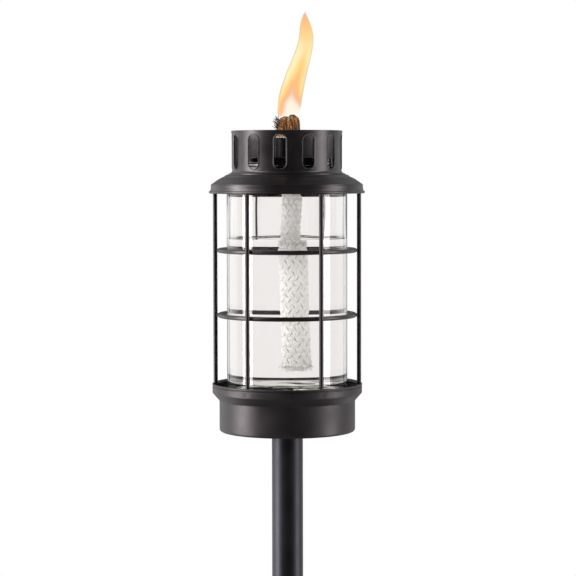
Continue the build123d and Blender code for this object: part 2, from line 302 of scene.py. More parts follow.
class Shader(Nodes):
    """A material's nodes, around its principled shader."""

    def __init__(self, name):
        self.material = bpy.data.materials.new(name)
        self.material.use_nodes = True
        super().__init__(self.material.node_tree, "Object")
        self.bsdf = self.tree.nodes["Principled BSDF"]
        self.output = self.tree.nodes["Material Output"]

    def set(self, **values):
        for key, value in values.items():
            self.feed(self.bsdf.inputs[key.replace("_", " ")], value)

    def out(self, shader, socket):
        self.tree.links.new(shader.outputs[0], self.output.inputs[socket])

    def only(self, shader, socket):
        """Puts another shader in the principled one's place."""
        self.tree.nodes.remove(self.bsdf)
        self.out(shader, socket)

    def noise(self, scale, detail=3, roughness=0.5, coords=None):
        inputs = {"Vector": coords or self.coords, "Scale": scale, "Detail": detail, "Roughness": roughness}
        return self.node("ShaderNodeTexNoise", inputs).outputs["Fac"]

    def ramp(self, fac, stops):
        node = self.node("ShaderNodeValToRGB", {"Fac": fac})
        elements = node.color_ramp.elements
        while len(elements) < len(stops):
            elements.new(0.5)
        for element, (place, colour) in zip(elements, stops):
            element.position = place
            element.color = (*colour, 1)
        return node.outputs["Color"]

    def bump(self, height, distance, strength=1.0, normal=None):
        inputs = {"Height": height, "Distance": distance, "Strength": strength}
        if normal is not None:
            inputs["Normal"] = normal
        return self.node("ShaderNodeBump", inputs).outputs["Normal"]


# ---- materials


def scaled(colour, factor):
    return tuple(c * factor for c in colour)


def powder_coat(name, colour, roughness, tint, grain_mm=0.9, wear=0.0, gloss=0.5):
    """Satin black powder coat: fine orange peel, a little mottling, a paler look where it is worn."""
    s = Shader(name)
    mottling = s.noise(60, detail=4)
    base = s.ramp(mottling, [(0.35, colour), (0.7, tuple(c * 1.4 + 0.0004 for c in colour))])
    if wear:
        rubbed = s.range(s.noise(38, detail=6, roughness=0.65), 0.66, 0.74, 0, wear)
        base = s.mix(rubbed, base, (0.16, 0.14, 0.125, 1))
    peel = s.noise(1 / (grain_mm * MM), detail=2)
    swell = s.noise(1 / (6 * MM), detail=1)
    s.set(Base_Color=base, Specular_Tint=(*tint, 1), Specular_IOR_Level=gloss)
    s.set(Roughness=s.range(mottling, 0.3, 0.7, roughness - 0.05, roughness + 0.06))
    s.set(Normal=s.bump(swell, 0.03 * MM, 0.5, s.bump(peel, 0.02 * MM, 0.6)))
    return s.material


def enamel(name, colour, roughness, crest_r=None, highlight_at=()):
    """Smooth stove enamel. A thread's crest gets a painted highlight, a pale silver colour, at the given
    (azimuth, half width)s.
    """
    s = Shader(name)
    cloud = s.noise(45, detail=4)
    base = s.ramp(cloud, [(0.3, colour), (0.8, scaled(colour, 1.6))])
    if highlight_at:
        crest = s.range(s.from_axis(), (crest_r - 0.30) * MM, (crest_r - 0.12) * MM, 0, 1)
        x, y, _ = s.axes()
        angle = s.math("ARCTAN2", x, s.times(y, -1))
        glint = 0.0
        for degrees, half in highlight_at:
            away = s.away(angle, math.radians(degrees))
            near = s.range(away, math.radians(half), math.radians(half + 4), 1, 0)
            glint = s.math("MAXIMUM", glint, near)
        # painted highlight: the crests turn pale silver where they face the left and right side lights
        base = s.mix(s.times(glint, crest), base, (0.82, 0.82, 0.81, 1))
    s.set(Base_Color=base, Roughness=s.range(cloud, 0.3, 0.7, roughness, roughness + 0.1))
    s.set(Normal=s.bump(s.noise(900, detail=2), 0.01 * MM, 0.4))
    return s.material


def bare_steel(name, colour, roughness):
    """Zinc-plated steel with fine drawing lines."""
    s = Shader(name)
    lines = s.noise(700, detail=4, coords=s.stretched(12))
    spangle = s.noise(140, detail=3)
    s.set(Base_Color=s.ramp(spangle, [(0.3, scaled(colour, 0.75)), (0.7, colour)]))
    s.set(Metallic=1.0, Roughness=s.range(lines, 0.3, 0.7, roughness, roughness + 0.15))
    s.set(Normal=s.bump(lines, 0.01 * MM, 0.3))
    return s.material


def rubber(name, colour):
    """Dusty moulded rubber."""
    s = Shader(name)
    dust = s.noise(220, detail=5)
    s.set(Base_Color=s.ramp(dust, [(0.35, colour), (0.75, scaled(colour, 1.8))]))
    s.set(Roughness=s.range(dust, 0.3, 0.7, 0.7, 0.9))
    s.set(Normal=s.bump(dust, 0.05 * MM, 0.5))
    return s.material


GLASS_IOR = 1.5
OIL_IOR = 1.44
GLASS_TINT = (0.986, 0.967, 0.962, 1)
WETTED_TINT = (0.956, 0.933, 0.941, 1)
GLASS_BODY = (0.64, 0.69, 0.60, 1)  # what is left of light that goes through thick glass


def clear_glass(name, wet_r, wet_low, wet_high):
    """Moulded soda glass. Its inner face bends light less where the oil wets it."""
    s = Shader(name)
    roughness = s.range(s.noise(30, detail=3), 0.35, 0.75, 0.0, 0.02)
    normal = s.bump(s.noise(26, detail=1), 0.25 * MM, 0.35)
    s.set(Base_Color=GLASS_TINT, Transmission_Weight=1.0, IOR=GLASS_IOR, Roughness=roughness, Normal=normal)
    wet = s.node("ShaderNodeBsdfPrincipled", {
        "Base Color": WETTED_TINT, "Transmission Weight": 1.0, "IOR": GLASS_IOR / OIL_IOR,
        "Roughness": roughness, "Normal": normal,
    })
    height = s.axes()["Z"]
    inside = s.math("LESS_THAN", s.from_axis(), wet_r * MM)
    under = s.math("LESS_THAN", height, height_of(wet_high))
    above = s.math("GREATER_THAN", height, height_of(wet_low))
    is_wet = s.times(inside, s.times(under, above))
    s.out(s.node("ShaderNodeMixShader", {0: is_wet, 1: s.bsdf.outputs[0], 2: wet.outputs[0]}), "Surface")
    s.out(s.node("ShaderNodeVolumeAbsorption", {"Color": GLASS_BODY, "Density": 16.0}), "Volume")
    return s.material


def oil_surface(name):
    """The oil's free surface."""
    s = Shader(name)
    s.set(Base_Color=(0.995, 0.992, 0.98, 1), Transmission_Weight=1.0, IOR=OIL_IOR, Roughness=0.0)
    s.set(Normal=s.bump(s.noise(18, detail=1), 0.05 * MM, 0.2))
    return s.material


def wetted_side(name):
    """Where the oil touches the glass the jar's own wall bends the light, so this face lets it by."""
    s = Shader(name)
    s.only(s.node("ShaderNodeBsdfTransparent", {"Color": (0.997, 0.996, 0.99, 1)}), "Surface")
    return s.material


def oil_line(name):
    """The oil's edge where it climbs the glass: a see-through band with painted shade, darkest on the far
    side.
    """
    s = Shader(name)
    patchy = s.plus(s.axes()["Y"], s.range(s.noise(60, detail=3), 0.3, 0.7, -0.012, 0.012))
    meniscus_shade = [(0.0, (0.93, 0.93, 0.91)), (1.0, (0.08, 0.08, 0.07))]
    # painted shade: the band darkens towards +Y, the far side, where the meniscus shows dark things behind it
    colour = s.ramp(s.range(patchy, -0.01, 0.03, 0, 1), meniscus_shade)
    s.only(s.node("ShaderNodeBsdfTransparent", {"Color": colour}), "Surface")
    return s.material


# ---- stage, camera and light


def make_stage():
    """A pale round floor at the stake's tip that fades into the white surround."""
    radius = 6.2
    bpy.ops.mesh.primitive_circle_add(vertices=128, radius=radius, fill_type="NGON")
    floor = bpy.context.object
    floor.name = "floor"
    floor.location.z = CAD_BOX[0].z
    s = Shader("pale_floor")
    tint = s.ramp(s.noise(0.8, detail=2), [(0.3, (0.80, 0.80, 0.80)), (0.7, (0.84, 0.84, 0.84))])
    s.set(Base_Color=tint, Roughness=0.9, Specular_IOR_Level=0.1)
    s.set(Alpha=s.range(s.length(s.coords), radius * 0.35, radius * 0.97, 1, 0, smooth=True))
    floor.data.materials.append(s.material)
    floor.visible_glossy = False  # keeps the pale floor out of the black coats' reflections


def make_camera():
    """A long lens level with the hood's collar, that looks a little down on the lantern."""
    data = bpy.data.cameras.new("camera")
    data.sensor_width = 36
    data.lens = 135
    data.clip_end = 100
    camera = bpy.data.objects.new("camera", data)
    bpy.context.scene.collection.objects.link(camera)
    camera.location = (0.93 * MM, -1.758, height_of(217.1))
    camera.rotation_euler = (math.radians(90 - 3.26), math.radians(0.11), 0)
    bpy.context.scene.camera = camera


# how bright the studio is in reflections
LEFT_BOX = 15.0
RIGHT_BOX = 8.2
WALL = 1.15
WALL_SLANT = 0.35  # how much stronger the wall is on the left
CEILING = 0.03
FLOOR_GLOW = 0.22
DARK_SIDE = 0.01
# how bright it is through glass
FRONT_WALL = 0.7  # the front wall, in views from behind
DIM_SIDE = 0.20  # what the glass's edges bend into view from the sides
# how bright it is on pale surfaces
FILL = 1.50
SIDE_FILL = 2.3  # what the left adds to it


def make_world():
    """A white studio: a lit wall behind the torch, a tall soft box on each side, a dark camera side."""
    world = bpy.data.worlds.new("studio")
    bpy.context.scene.world = world
    world.use_nodes = True
    world.node_tree.nodes.clear()
    s = Nodes(world.node_tree, "Generated")

    def degrees(angle):
        return s.times(angle, 180 / math.pi)

    def window(angle, centre, half, edge):
        """1 where an angle is within half of centre, falling smoothly to 0 over edge."""
        return s.range(s.away(angle, centre), half, half + edge, 1, 0, smooth=True)

    x, y, z = s.axes()
    azimuth = degrees(s.math("ARCTAN2", x, s.times(y, -1)))
    azimuth_back = degrees(s.math("ARCTAN2", x, y))
    elevation = degrees(s.math("ARCSINE", z))

    box_height = window(elevation, 8, 38, 14)
    left = s.times(window(azimuth, -81.5, 9.5, 4), box_height)
    right = s.times(window(azimuth, 79, 8.5, 4), box_height)
    wall_ends = s.plus(s.times(window(s.math("ABSOLUTE", azimuth), 118, 22, 30), 0.75), 0.25)
    behind = s.times(s.math("SUBTRACT", 1, window(azimuth, 0, 100, 20)), wall_ends)
    wall = s.times(behind, window(elevation, 0, 38, 22))
    wall = s.times(wall, s.plus(s.times(x, -WALL_SLANT), 1))
    overhead = window(elevation, 90, 20, 25)
    below = window(elevation, -90, 45, 38)
    glossy = s.times(left, LEFT_BOX)
    for part, strength in ((right, RIGHT_BOX), (wall, WALL), (overhead, CEILING), (below, FLOOR_GLOW)):
        glossy = s.plus(glossy, s.times(part, strength))
    glossy = s.plus(glossy, DARK_SIDE)

    side_fill = s.times(window(azimuth, -98, 22, 30), window(elevation, 15, 30, 30))
    bounced = s.plus(s.times(side_fill, SIDE_FILL), FILL)

    through = s.plus(s.times(window(azimuth_back, 0, 58, 40), 1 - DIM_SIDE), DIM_SIDE)
    through = s.math("MAXIMUM", through, s.times(window(azimuth, 0, 50, 25), FRONT_WALL))
    through = s.times(through, window(elevation, -10, 40, 40))

    path = s.node("ShaderNodeLightPath").outputs
    strength = s.mix(path["Is Transmission Ray"], glossy, through, "FLOAT")
    after_diffuse = s.math("GREATER_THAN", path["Diffuse Depth"], 0.5)
    strength = s.mix(after_diffuse, strength, bounced, "FLOAT")
    strength = s.mix(path["Is Camera Ray"], strength, 1.0, "FLOAT")
    background = s.node("ShaderNodeBackground", {"Color": (1, 1, 1, 1), "Strength": strength})
    s.node("ShaderNodeOutputWorld", {"Surface": background.outputs[0]})


# ---- the torch's materials

BLACK = (0.0027, 0.0021, 0.0023)
ENAMEL_BLACK = (0.002, 0.002, 0.0022)
# what the coats leave of a grazing reflection
WARM, DULL = (1.0, 0.89, 0.94), (0.6, 0.53, 0.56)
COOL, SHADE_TINT = (0.44, 0.435, 0.53), (0.3, 0.3, 0.3)
COAT = powder_coat("black_powder_coat", BLACK, 0.37, WARM)
# the cup's coat: rougher, and paler than the black coat as painted light that lifts the cup's dark middle
CUP_COAT = powder_coat("paler_cup_coat_painted_light", (0.0040, 0.0033, 0.0035), 0.46, WARM, gloss=0.45)
ROD_COAT = powder_coat("black_rod_coat", BLACK, 0.37, DULL, gloss=0.8)
# the slot rims' coat: glossier, and paler in colour as a painted highlight where the rims catch the side
# lights
RIM_HIGHLIGHT_COAT = powder_coat("slot_rim_painted_highlight", (0.010, 0.0085, 0.009), 0.28, WARM, gloss=0.7)
POLE_COAT = powder_coat("black_pole_coat", (0.0016, 0.0016, 0.0021), 0.47, COOL, grain_mm=1.1, gloss=0.75)
STAKE_COAT = powder_coat("black_stake_coat", (0.010, 0.009, 0.009), 0.38, WARM, wear=0.5)
# the wick tube's coat is darker in colour and in its reflections: painted shade for the dark inside of the
# guard
TUBE_METAL = powder_coat("dark_tube_coat", (0.001, 0.001, 0.001), 0.45, SHADE_TINT, gloss=0.25)
LID_ENAMEL = enamel("black_lid_enamel", ENAMEL_BLACK, 0.10)
# the crests' painted highlights stand at azimuths -46 and 58, facing the side soft boxes
BAND_ENAMEL = enamel("band_enamel_painted_highlight", ENAMEL_BLACK, 0.10, 37.0, ((-46, 7), (58, 5)))
ZINC = bare_steel("zinc_plate", (0.62, 0.62, 0.60), 0.28)
RIVET = bare_steel("rivet_steel", (0.55, 0.55, 0.55), 0.32)
PAD_RUBBER = rubber("black_pad_rubber", (0.012, 0.012, 0.012))
GASKET_RUBBER = rubber("grey_gasket_rubber", (0.05, 0.05, 0.05))
OIL = oil_surface("lamp_oil_surface")
OIL_SIDE = wetted_side("lamp_oil_side")
OIL_LINE = oil_line("lamp_oil_line")

CAD_LOOKS = [
    (STAKE_COAT, ["foot_plate", "stake_socket", "stake_blade_a", "stake_blade_b"]),
    (POLE_COAT, ["lower_pole", "middle_pole", "upper_pole"]),
    (COAT, ["lower_cage_ring", "upper_cage_ring", "cage_top_ring", "jar_seat"]),
    (ROD_COAT, CAGE_RODS),
    (PAD_RUBBER, ["jar_pad"]),
    (ZINC, ["pole_socket"]),
    (RIVET, ["socket_rivets"]),
    (LID_ENAMEL, ["jar_lid"]),
    (GASKET_RUBBER, ["lid_gasket"]),
    (TUBE_METAL, ["wick_tube"]),
]


def wear(obj, material):
    obj.data.materials.clear()
    obj.data.materials.append(material)


def dress_cad_nodes():
    for material, names in CAD_LOOKS:
        for name in names:
            wear(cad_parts[name], material)


def place(obj, body, slot_name, material, *nodes):
    """Finishes a piece: its material, the body it rides on and the CAD nodes it stands for."""
    wear(obj, material)
    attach(obj, body)
    if nodes:
        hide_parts(*nodes)


# ---- lantern metal


def rod_azimuths():
    """Where the cage rods stand, from their CAD boxes."""
    found = []
    for name in CAGE_RODS:
        low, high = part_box(name)
        middle = (low + high) / 2
        found.append(math.atan2(middle.x, -middle.y))
    return found


SHEET = 0.9  # the pressed steel's thickness


def make_cup():
    """Deep-drawn cup with a stepped-out lip. Each rod's weld has pulled a small dimple in the lip."""
    lip_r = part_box("base_cup")[1].x / MM
    top = above_head(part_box("base_cup")[1].z)
    body_r = lip_r - 5.9
    hole_r = 12.8
    hem_r = 1.05
    hem_turns = [math.radians(-70 + 205 * k / 8) for k in range(9)]
    hem = [(lip_r - hem_r + hem_r * math.cos(t), top - 0.6 + hem_r * math.sin(t)) for t in hem_turns]
    outline = rounded([
        (hole_r, 0, 0.3),
        (body_r, 0, 2.4),
        (body_r, 25.4, 1.6),
        (lip_r - 0.2, 31.9, 1.6),
        (lip_r - 0.2, top - 2.4, 0.5),
        (lip_r - 0.55, top - 1.9, 0.2),
    ])
    outline += hem
    outline += rounded([
        (lip_r - hem_r - SHEET, top - 1.6, 0.2),
        (lip_r - 0.2 - SHEET, top - 2.8, 0.4),
        (lip_r - 0.2 - SHEET, 32.2, 1.2),
        (body_r - SHEET, 25.9, 1.6),
        (body_r - SHEET, SHEET, 1.8),
        (hole_r, SHEET, 0.3),
    ])
    rods = rod_azimuths()
    weld_height = 34.6

    def weld_dimples(theta, r, z):
        pull = 0.0
        if z > 32.2 and r > lip_r - 2 * SHEET:
            for rod in rods:
                across = abs((theta - rod + math.pi) % TAU - math.pi) * lip_r
                pull += 0.22 * math.exp(-(across / 2.2) ** 2 - ((z - weld_height) / 1.8) ** 2)
        return r - pull, z

    cup = lathe("cup_shell", dense(outline, 1.2), 360, weld_dimples, smooth_angle=50)
    place(cup, "lantern_base", "powder_coat", CUP_COAT, "base_cup")


def make_hood():
    """Pressed shoulder with a rolled bead at its edge and a scored line above the band."""
    low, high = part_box("lantern_top")
    edge, top = above_head(low.z), above_head(high.z)
    bead_r = 1.1
    band_r = high.x / MM - 1.6
    hole_r = 44.0
    shoulder = [
        (band_r - 0.15, 201.5), (60.0, 202.5), (57.6, 204.3), (54.4, 206.3), (50.9, 207.9), (50.5, 208.4),
    ]
    outline = [(band_r - SHEET, edge + 0.9)]
    for k in range(13):
        turn = math.radians(-160 + 250 * k / 12)
        outline.append((band_r + 0.5 + bead_r * math.cos(turn), edge + bead_r + bead_r * math.sin(turn)))
    outline += rounded([
        (band_r, edge + 2.6, 0.4),
        (band_r, 200.5, 0.3),
        (band_r - 0.35, 200.9, 0.2),
        (band_r - 0.1, 201.2, 0.4),
    ])
    outline += shoulder
    outline += [(49.0, top), (hole_r, top), (hole_r, top - SHEET), (48.8, top - SHEET)]
    outline += [(r - 0.45, z - 0.8) for r, z in reversed(shoulder)]
    outline += [(band_r - SHEET, 200.4)]
    hood = lathe("hood_shell", outline, 288)
    place(hood, "hood", "powder_coat", COAT, "lantern_top")


GUARD_SLOTS = 12
GUARD_FIRST_SLOT = math.radians(-7.1)
GUARD_R = 44.4
PER_SIDE, PER_END = 22, 20  # points along a slot's side and round its end


def slot_and_cell(half_width, slot, cell_half, cell):
    """Points round a slot, the way out of it at each, and the matching points round its cell."""
    found = []
    low, high = slot[0] + half_width, slot[1] - half_width
    for side, first, last, cell_first, cell_last in ((1, low, high, *cell), (-1, high, low, *cell[::-1])):
        for k in range(PER_SIDE):
            t = k / PER_SIDE
            found.append(((side * half_width, first + (last - first) * t), (side, 0),
                          (side * cell_half, cell_first + (cell_last - cell_first) * t)))
        for k in range(PER_END):
            t = k / PER_END
            out = (side * math.cos(math.pi * t), side * math.sin(math.pi * t))
            found.append(((half_width * out[0], last + half_width * out[1]), out,
                          (side * cell_half * (1 - 2 * t), cell_last)))
    return found


def make_guard():
    """Slotted collar: one cell around each obround slot, wrapped on the collar's profile."""
    low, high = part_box("flame_guard")
    foot, rim = above_head(low.z), above_head(high.z)
    flare, flare_height = 0.9, 8
    bead, bead_rise = 0.8, 0.42  # a pressed bead runs round each slot
    cell_low, cell_high = 212.4, 242.9
    pitch = TAU / GUARD_SLOTS
    cell_half = pitch * GUARD_R / 2
    outline = slot_and_cell(4.8, (213.9, 241.4), cell_half, (cell_low, cell_high))

    def radius_at(h):
        return GUARD_R + flare * (max(0, h - (rim - flare_height)) / flare_height) ** 2

    # how far each row is across the bead, then on to the cell's edge, and how far it is raised
    steps = []
    for part in (0.0, 0.12, 0.26, 0.42, 0.58, 0.76, 1.0):
        steps.append((part, 0.0, bead_rise * math.sin(math.pi * (0.2 + 0.8 * part))))
    steps += [(1.0, blend, 0.0) for blend in (0.2, 0.45, 0.72, 1.0)]
    cell = []
    for part, blend, raised in steps:
        row = []
        for (sx, sh), (nx, nh), (bx, bh) in outline:
            x, h = sx + nx * bead * part, sh + nh * bead * part
            h += (bh - h) * blend
            row.append((x + (bx - x) * blend, h, radius_at(h) + raised))
        cell.append(row)
    cove = 2.9
    below = [(cell_low, GUARD_R)]
    for k in range(1, 7):
        bend = math.radians(15 * k)
        below.append((foot + 0.9 + cove * (1 - math.sin(bend)), GUARD_R + cove * (1 - math.cos(bend))))
    below.append((foot + 0.9, high.x / MM - 0.1))
    above = [(h, radius_at(h)) for h in (cell_high, 243.5, 244.0, rim - 0.05)]
    columns = [cell_half * (2 * k / PER_END - 1) for k in range(PER_END + 1)]
    verts, faces, on_bead = [], [], []

    def add_sheet(rows, turn, is_ring):
        base, width = len(verts), len(rows[0])
        for row in rows:
            verts.extend(polar(r, turn + x / GUARD_R, h) for x, h, r in row)
        for level in range(len(rows) - 1):
            a, b = base + level * width, base + (level + 1) * width
            for k in range(width if is_ring else width - 1):
                j = (k + 1) % width
                faces.append((a + k, b + k, b + j, a + j) if is_ring else (a + k, a + j, b + j, b + k))
                on_bead.append(is_ring and level < 4)

    for number in range(GUARD_SLOTS):
        turn = GUARD_FIRST_SLOT + number * pitch
        add_sheet(cell, turn, True)
        for band in (below, above):
            add_sheet([[(x, h, r) for x in columns] for h, r in band], turn, False)
    guard = new_object("guard_collar", verts, faces)
    guard.data.attributes.new("bead", "INT", "FACE").data.foreach_set("value", on_bead)
    bm = bmesh.new()
    bm.from_mesh(guard.data)
    bmesh.ops.remove_doubles(bm, verts=bm.verts, dist=0.02 * MM)
    bmesh.ops.recalc_face_normals(bm, faces=bm.faces)
    # the open sheet's normals have to point away from the axis before it is thickened
    probe = max(bm.faces, key=lambda face: face.calc_area())
    centre = probe.calc_center_median()
    if probe.normal.dot(Vector((centre.x, centre.y, 0))) < 0:
        bmesh.ops.reverse_faces(bm, faces=bm.faces)
    bm.to_mesh(guard.data)
    bm.free()
    solid = guard.modifiers.new("thickness", "SOLIDIFY")
    solid.thickness = SHEET * MM
    solid.offset = -1
    solid.use_even_offset = True
    bevel = guard.modifiers.new("edges", "BEVEL")
    bevel.width = 0.32 * MM
    bevel.segments = 3
    bevel.limit_method = "ANGLE"
    bevel.angle_limit = math.radians(50)
    apply_modifiers(guard)
    soften(guard, 40)
    place(guard, "hood", "powder_coat", COAT, "flame_guard")
    # the bead round each slot takes the paler rim coat, a painted highlight
    guard.data.materials.append(RIM_HIGHLIGHT_COAT)
    for face, mark in zip(guard.data.polygons, guard.data.attributes["bead"].data):
        face.material_index = mark.value


# ---- jar, oil and lid

THREAD_PITCH = 2.5
OIL_LEVEL = above_head(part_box("lamp_oil")[1].z)


def from_thread(theta, z, start):
    """How far a height is from the nearest turn of a thread that starts at start."""
    turns = (z - start) / THREAD_PITCH - theta / TAU
    return abs(turns - round(turns)) * THREAD_PITCH


def make_jar():
    """Moulded jar: thick base with a push-up, wavy inner wall, helical thread on the neck."""
    low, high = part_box("glass_jar")
    jar_r = high.x / MM + 0.35
    bottom, mouth = above_head(low.z), above_head(high.z)
    wall, neck_r = 2.5, 34.0
    shoulder, floor = 201.0, bottom + 12.5
    thread_low, thread_high = 209.0, 218.6
    outline = rounded([
        (0, bottom + 8.6),
        (26, bottom + 8.2, 3),
        (30, bottom + 4.6, 2),
        (40, bottom + 1.2, 6),
        (43, bottom, 2),
        (jar_r, bottom, 3.0),
        (jar_r, shoulder, 12),
        (neck_r, shoulder + 5.5, 2),
        (neck_r, mouth, 0.8),
        (neck_r - wall, mouth, 0.8),
        (neck_r - wall, shoulder + 3.3, 2.5),
        (jar_r - wall, shoulder - 2.2, 10.5),
        (jar_r - wall, floor, 6),
        (35, floor - 1.0, 10),
        (17, floor + 0.5, 14),
        (0, floor + 1.0),
    ], steps=9)

    def moulding(theta, r, z):
        if abs(r - neck_r) < 0.05 and thread_low - 1 < z < thread_high + 1:
            ends = min(1, max(0, (z - thread_low) / 1.5), max(0, (thread_high - z) / 1.5))
            r += 0.95 * max(0, 1 - (from_thread(theta, z, thread_low) / 0.85) ** 2) * ends
        elif r < jar_r - 1 and z > floor + 2:
            wave = Vector((math.sin(theta) * 2.6, math.cos(theta) * 2.6, z / 34))
            streak = Vector((math.sin(theta) * 7, math.cos(theta) * 7, z / 90))
            r += 0.22 * noise.noise(wave) + 0.10 * noise.noise(streak)
        elif r < jar_r - 6 and z < floor + 2:
            wave = Vector((r / 14 * math.sin(theta), r / 14 * math.cos(theta), 3.7))
            z += (0.2 if z > floor - 3 else 0.9) * noise.noise(wave)
        return r, z

    jar = lathe("jar_glass_body", dense(outline, 0.8), 256, moulding, smooth_angle=60)
    glass = clear_glass("jar_glass", jar_r - wall + 0.6, floor - 2.5, OIL_LEVEL)
    place(jar, "jar", "clear_glass", glass, "glass_jar")


def make_oil():
    """The oil fills the jar up to its level and creeps up the glass in a small meniscus."""
    low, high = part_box("lamp_oil")
    floor = above_head(low.z)
    radius = high.x / MM + 0.25
    outline = rounded([
        (0, floor + 0.6),
        (17, floor + 0.1, 14),
        (35, floor - 1.4, 10),
        (radius, floor - 0.4, 6),
        (radius, OIL_LEVEL + 1.0),
        (radius - 0.45, OIL_LEVEL + 0.75),
        (radius - 1.1, OIL_LEVEL + 0.3),
        (radius - 2.4, OIL_LEVEL + 0.04),
        (radius - 5, OIL_LEVEL),
        (0, OIL_LEVEL),
    ], steps=9)
    oil = lathe("oil_fill", dense(outline, 3.0), 256, smooth_angle=60)
    place(oil, "jar", "lamp_oil", OIL, "lamp_oil")
    oil.data.materials.append(OIL_SIDE)
    oil.data.materials.append(OIL_LINE)
    for face in oil.data.polygons:
        if face.normal.z < 0.02:
            face.material_index = 1
        elif math.hypot(face.center.x, face.center.y) > (radius - 1.15) * MM:
            face.material_index = 2


def make_band():
    """Rolled screw band with a helical thread that shows on its outside."""
    low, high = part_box("lid_band")
    top, foot = above_head(high.z), above_head(low.z)
    band_r, opening_r, wall = 36.4, 30.0, 0.7
    thread_top = top - 3.4

    def thread(theta, r, z):
        if r > band_r - 1 and z < thread_top:
            ends = min(1, max(0, (z - foot - 1.0) / 1.2), max(0, thread_top - z))
            across = min(1, from_thread(theta, z, foot + 1.6) / 1.25)
            r += 0.6 * math.cos(across * math.pi / 2) * ends
        return r, z

    outline = rounded([
        (opening_r, top, 0.2),
        (band_r, top, 1.3),
        (band_r, foot + 0.9, 0.3),
        (band_r + 0.5, foot + 0.5, 0.3),
        (band_r + 0.3, foot, 0.2),
        (band_r - wall, foot, 0.2),
        (band_r - wall, top - wall, 0.8),
        (opening_r, top - wall, 0.2),
    ])
    band = lathe("lid_band_rolled", dense(outline, 0.35), 240, thread)
    place(band, "screw_band", "lid_enamel", BAND_ENAMEL, "lid_band")


# ---- wick

WICK_FOOT = 51.6
TUBE_TOP = above_head(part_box("wick_tube")[1].z)
WICK_TOP = above_head(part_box("wick")[1].z)
# where the wick's middle stands at each height: it leaves its tube leaning, and snakes a little
WICK_COURSE = [
    (40, 5.6), (50, 5.4), (75, 5.0), (105, 4.1), (130, 3.9), (150, 3.2), (164, 2.6), (178, 3.3),
    (191, 3.9), (205, 1.2), (214, 0.2), (224, 0.0), (238, 0.2), (245, 1.3), (258, 1.6), (270, 1.7),
]
# how much thicker it is: loose at its foot and head, squeezed in its tube
WICK_SWELL = [
    (50, 0.9), (60, 0.25), (80, 0.0), (190, 0.0), (200, -0.5), (236, -0.5), (241, 0.35), (250, 0.9),
    (257, 0.3),
]
STRANDS, YARNS = 10, 3  # strands each way, and yarns in a strand
TWIST = 0.070  # radians for each millimetre
BRAID_R, BRAID_WAVE, YARN_R = 6.88, 0.78, 0.70


def along(course, z):
    """Reads a list of (height, value) pairs at a height, eased between its points."""
    for (z0, v0), (z1, v1) in zip(course, course[1:]):
        if z <= z1:
            t = min(1, max(0, (z - z0) / (z1 - z0)))
            return v0 + (v1 - v0) * t * t * (3 - 2 * t)
    return course[-1][1]


def wick_point(z, theta, radius):
    """A point on the wick: height, angle about its middle and distance from it."""
    x = along(WICK_COURSE, z) + radius * math.sin(theta)
    return Vector((x * MM, -radius * MM * math.cos(theta), height_of(z)))


def fibre(points, radius, taper):
    """A loose fibre that gets thinner towards its end."""
    return sweep_tube(points, lambda t: radius * (1 - taper * t), sides=5)


def braid(rng):
    """Two sets of strands that cross over and under each other, about a soft core."""
    core_foot, core_steps = 51, 83
    heights = [core_foot + (WICK_TOP - 5 - core_foot) * k / core_steps for k in range(core_steps + 1)]
    parts = [sweep_tube([wick_point(z, 0, 0) for z in heights], 6.2 * MM, sides=20)]
    for way in (1, -1):
        for strand in range(STRANDS):
            end = WICK_TOP - rng.uniform(3.2, 5.0)
            foot = WICK_FOOT + rng.uniform(1.5, 4.5)
            steps = int((end - foot) / 1.25)
            for yarn in range(YARNS):
                points = []
                for k in range(steps + 1):
                    z = foot + (end - foot) * k / steps
                    theta = TAU * strand / STRANDS + way * (TWIST * z + (yarn - 1) * 0.165)
                    r = BRAID_R + BRAID_WAVE * math.cos(STRANDS * TWIST * z) * way + along(WICK_SWELL, z)
                    if yarn == 1:
                        r += 0.12
                    r += 0.14 * noise.noise(Vector((z / 9, strand * 3.1 + way, yarn * 5.7)))
                    r -= 1.8 * max(0, (z - WICK_TOP + 7.5) / 3.5) ** 2
                    points.append(wick_point(z, theta, r))
                parts.append(sweep_tube(points, YARN_R * MM))
    return parts


def scorched_head(rng):
    """Loose fibres hang over the braid in two lumps, the right one higher."""
    count, rows = 230, 12
    parts = []
    for k in range(count):
        theta = TAU * k / count + rng.uniform(-0.02, 0.02)
        out_r = rng.uniform(8.2, 9.3)
        drift = rng.uniform(-0.25, 0.25)
        slant = rng.uniform(-0.34, 0.34)
        foot = TUBE_TOP + rng.uniform(0.1, 0.8)
        aside = out_r * math.sin(theta)
        lump, lump_drop = (5.0, 0.0) if aside > 1.3 else (-4.8, 1.5)
        crown = WICK_TOP + 0.8 - rng.uniform(0.0, 0.9) - lump_drop
        crown -= 3.2 * ((aside - lump) / 4.8) ** 2
        points = []
        for step in range(rows + 1):
            t = step / rows
            z = foot + (crown - foot) * min(1, t * 1.12)
            inward = 1 - 0.62 * max(0, (t - 0.80) / 0.20) ** 1.6
            belly = 1 - 0.10 * (1 - math.sin(math.pi * min(1, 0.25 + 0.75 * t)))
            sway = drift * math.sin(3 * t + k) + slant * (t - 0.5)
            points.append(wick_point(z, theta + sway, out_r * inward * belly))
        parts.append(fibre(points, rng.uniform(0.28, 0.5) * MM, 0.5))
    return parts


